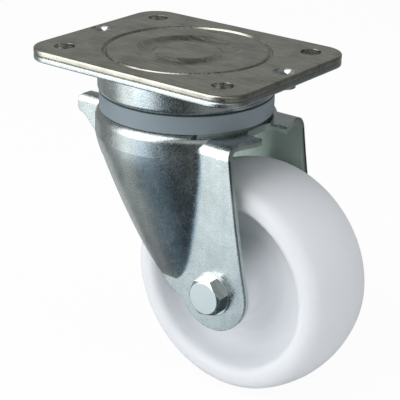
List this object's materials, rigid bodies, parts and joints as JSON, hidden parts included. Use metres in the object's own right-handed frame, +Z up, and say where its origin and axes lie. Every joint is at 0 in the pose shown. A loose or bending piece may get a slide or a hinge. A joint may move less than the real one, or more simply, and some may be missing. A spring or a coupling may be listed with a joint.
{
  "type": "swivel castor",
  "caption": "Swivel castor with a rectangular top plate, ball-bearing neck, pressed steel fork and solid white wheel on a bolt axle.",
  "frame": {"origin": "centre of the top plate's upper face, on the swivel axis", "axes": "+Z up through the top plate, +X towards the side that the wheel trails to, +Y along the axle away from the bolt's head"},
  "size_m": [0.175, 0.108, 0.1775],
  "materials": {
    "zinc_sheet": "satin",
    "zinc_bright": "polished",
    "bearing_steel": "polished",
    "ring_grey": "matte",
    "cage_plastic": "matte",
    "white_nylon": "satin"
  },
  "bodies": {
    "plate": {"top_plate": "zinc_sheet", "bearing_plate": "zinc_sheet", "plate_rivets": "zinc_bright", "kingpin": "zinc_bright", "kingpin_washer": "zinc_bright", "kingpin_nut": "zinc_bright", "lower_race": "bearing_steel"},
    "upper_ball_ring": {"upper_balls": "bearing_steel", "upper_ball_cage": "cage_plastic"},
    "lower_ball_ring": {"lower_balls": "bearing_steel", "lower_ball_cage": "cage_plastic"},
    "swivel_fork": {"fork": "zinc_sheet", "seal_ring": "ring_grey", "axle_bolt": "zinc_bright", "axle_washers": "zinc_bright", "axle_nut": "zinc_bright", "nut_insert": "cage_plastic", "axle_sleeve": "bearing_steel", "thrust_washers": "zinc_bright"},
    "roller_ring": {"roller_cage": "cage_plastic", "hub_rollers": "bearing_steel"},
    "running_wheel": {"wheel": "white_nylon"}
  },
  "joints": [
    {"name": "swivel", "type": "hinge", "parent": "plate", "child": "swivel_fork", "pos_m": [0, 0, -0.031], "axis": [0, 0, 1], "continuous": true},
    {"name": "upper_ball_turn", "type": "hinge", "parent": "plate", "child": "upper_ball_ring", "pos_m": [0, 0, -0.0261], "axis": [0, 0, 1], "continuous": true},
    {"name": "lower_ball_turn", "type": "hinge", "parent": "plate", "child": "lower_ball_ring", "pos_m": [0, 0, -0.0382], "axis": [0, 0, 1], "continuous": true},
    {"name": "wheel_spin", "type": "hinge", "parent": "swivel_fork", "child": "running_wheel", "pos_m": [0.045, 0, -0.115], "axis": [0, 1, 0], "continuous": true},
    {"name": "roller_turn", "type": "hinge", "parent": "swivel_fork", "child": "roller_ring", "pos_m": [0.045, 0, -0.115], "axis": [0, 1, 0], "continuous": true}
  ],
  "couplings": [
    {"joint": "upper_ball_turn", "follows": "swivel", "ratio": 0.5},
    {"joint": "lower_ball_turn", "follows": "swivel", "ratio": 0.5},
    {"joint": "roller_turn", "follows": "wheel_spin", "ratio": 0.6063}
  ]
}
